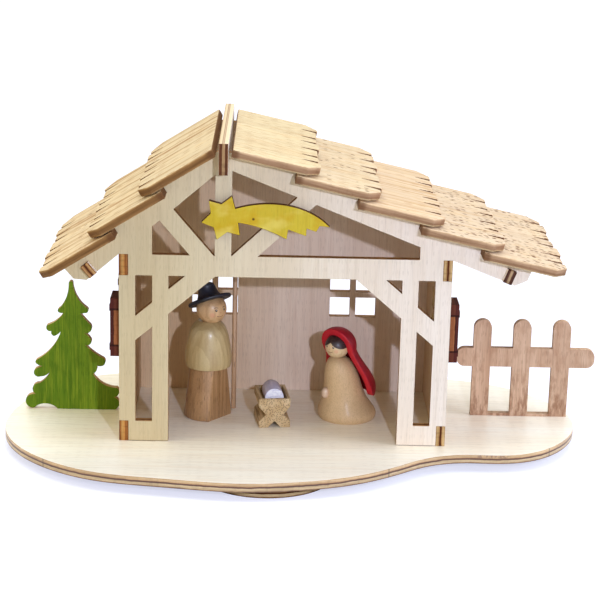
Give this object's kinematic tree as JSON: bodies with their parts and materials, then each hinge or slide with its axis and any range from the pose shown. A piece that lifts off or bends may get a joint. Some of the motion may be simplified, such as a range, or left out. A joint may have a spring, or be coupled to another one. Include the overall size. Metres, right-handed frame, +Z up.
{
  "type": "nativity stable",
  "caption": "Open-fronted wooden nativity stable with a stepped shingle roof on a free-form base, with comet, tree, fence, manger and turned figures.",
  "frame": {"origin": "middle of the whole set's bounding box, on the surface it stands on", "axes": "+X to the viewer's right, -Y towards the open front, +Z up"},
  "size_m": [0.2654, 0.1484, 0.1422],
  "materials": {
    "birch_ply": "bare sanded plywood with scorched laser-cut edges",
    "shingle_wood": "bare wood with a pitted face and brown sawn sides",
    "brown_stain": "matt brown stain",
    "yellow_paint": "matt paint with scorched edges",
    "green_stain": "matt green stain with the grain showing",
    "beech": "satin oiled wood",
    "pale_wood": "satin oiled wood",
    "navy_paint": "matt paint",
    "ochre_wood": "satin oiled wood",
    "red_paint": "matt paint",
    "tan_wood": "bare wood",
    "lilac_paint": "matt paint"
  },
  "bodies": {
    "stable": {"base_board": "birch_ply", "foot_front": "birch_ply", "foot_left": "birch_ply", "foot_right": "birch_ply", "front_wall": "birch_ply", "back_wall": "birch_ply", "left_wall": "birch_ply", "right_wall": "birch_ply", "ridge_board": "birch_ply", "left_batten": "birch_ply", "right_batten": "birch_ply", "left_shingles_1": "shingle_wood", "left_shingles_2": "shingle_wood", "left_shingles_3": "shingle_wood", "right_shingles_1": "shingle_wood", "right_shingles_2": "shingle_wood", "right_shingles_3": "shingle_wood", "right_shingles_4": "shingle_wood", "right_shingles_5": "shingle_wood", "comet": "yellow_paint", "spruce_tree": "green_stain", "picket_fence": "brown_stain", "left_shutter_front": "brown_stain", "left_shutter_back": "brown_stain", "right_shutter_front": "brown_stain", "right_shutter_back": "brown_stain"},
    "standing_figure": {"robe": "beech", "cape": "pale_wood", "standing_head": "pale_wood", "hat": "navy_paint", "staff": "pale_wood"},
    "kneeling_figure": {"gown": "ochre_wood", "kneeling_head": "pale_wood", "head_scarf": "red_paint", "hands": "pale_wood"},
    "crib": {"manger": "tan_wood", "infant_body": "lilac_paint", "infant_head": "pale_wood"}
  },
  "joints": [
    {"name": "standing_figure_slide", "type": "slide", "parent": "stable", "child": "standing_figure", "axis": [0, -1, 0], "range_m": [0, 0.06]},
    {"name": "kneeling_figure_slide", "type": "slide", "parent": "stable", "child": "kneeling_figure", "axis": [0, -1, 0], "range_m": [0, 0.05]},
    {"name": "crib_slide", "type": "slide", "parent": "stable", "child": "crib", "axis": [0, -1, 0], "range_m": [0, 0.05]}
  ]
}
